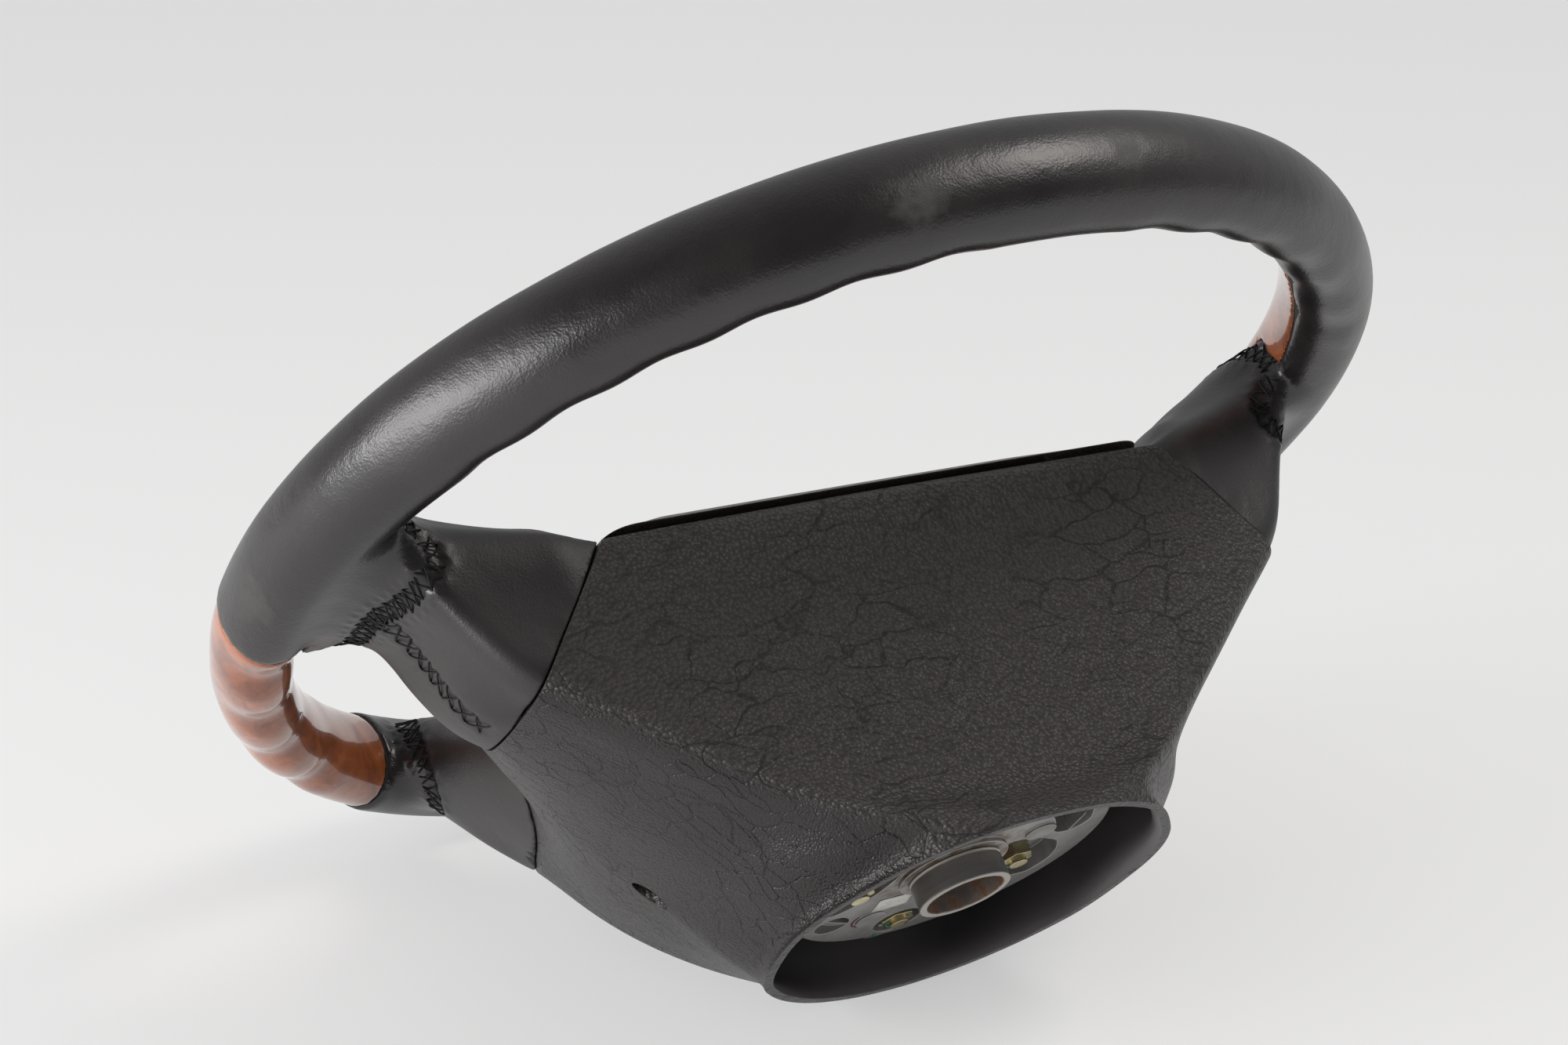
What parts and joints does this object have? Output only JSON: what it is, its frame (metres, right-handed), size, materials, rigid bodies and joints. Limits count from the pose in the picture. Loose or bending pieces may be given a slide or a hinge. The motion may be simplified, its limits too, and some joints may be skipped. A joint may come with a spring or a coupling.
{
  "type": "car steering wheel",
  "caption": "Car steering wheel with a leather and lacquered wood rim, laced spokes, a deep moulded rear cover and an airbag pad that is pressed for the horn.",
  "frame": {"origin": "centre of the mouth of the column bore, on the steering axis", "axes": "+Y along the steering axis to the column, +Z to twelve o'clock on the rim, +X to the driver's right"},
  "size_m": [0.3846, 0.1616, 0.3872],
  "materials": {
    "cast_metal": "as cast, grey",
    "turned_steel": "turned, a little rust in the bore",
    "foam": "moulded foam",
    "leather": "black, fine grain, satin",
    "lacquered_wood": "dark, clear gloss lacquer",
    "grained_plastic": "black, pebble grain",
    "plated_steel": "yellow zinc",
    "bush_plastic": "moulded",
    "spring_steel": "drawn wire",
    "contact_brass": "turned",
    "sheet_steel": "pressed and plated",
    "can_steel": "drawn",
    "plug_plastic": "moulded",
    "bag_fabric": "woven",
    "pad_plastic": "black, fine grain"
  },
  "bodies": {
    "wheel": {"armature": "cast_metal", "hub_sleeve": "turned_steel", "foam_upper": "foam", "foam_lower": "foam", "rim_leather_upper": "leather", "rim_leather_lower": "leather", "spoke_leather_upper_right": "leather", "spoke_leather_upper_left": "leather", "spoke_leather_lower_right": "leather", "spoke_leather_lower_left": "leather", "wood_right": "lacquered_wood", "wood_left": "lacquered_wood", "rear_cover": "grained_plastic", "cover_screws": "plated_steel", "guide_bushes": "bush_plastic", "horn_springs": "spring_steel", "horn_contacts": "contact_brass"},
    "horn_pad": {"airbag_pad": "pad_plastic", "airbag_tray": "sheet_steel", "inflator": "can_steel", "bag_retainer": "sheet_steel", "retainer_nuts": "plated_steel", "inflator_plug": "plug_plastic", "folded_bag": "bag_fabric", "airbag_screws": "plated_steel", "horn_plate": "sheet_steel", "guide_bolts": "plated_steel", "guide_nuts": "plated_steel"}
  },
  "joints": [
    {"name": "horn_press", "type": "slide", "parent": "wheel", "child": "horn_pad", "axis": [0, 1, 0], "range_m": [0, 0.0025], "stiffness_N_per_m": 12000, "springref_m": -0.002, "deforming": ["horn_springs"]}
  ]
}
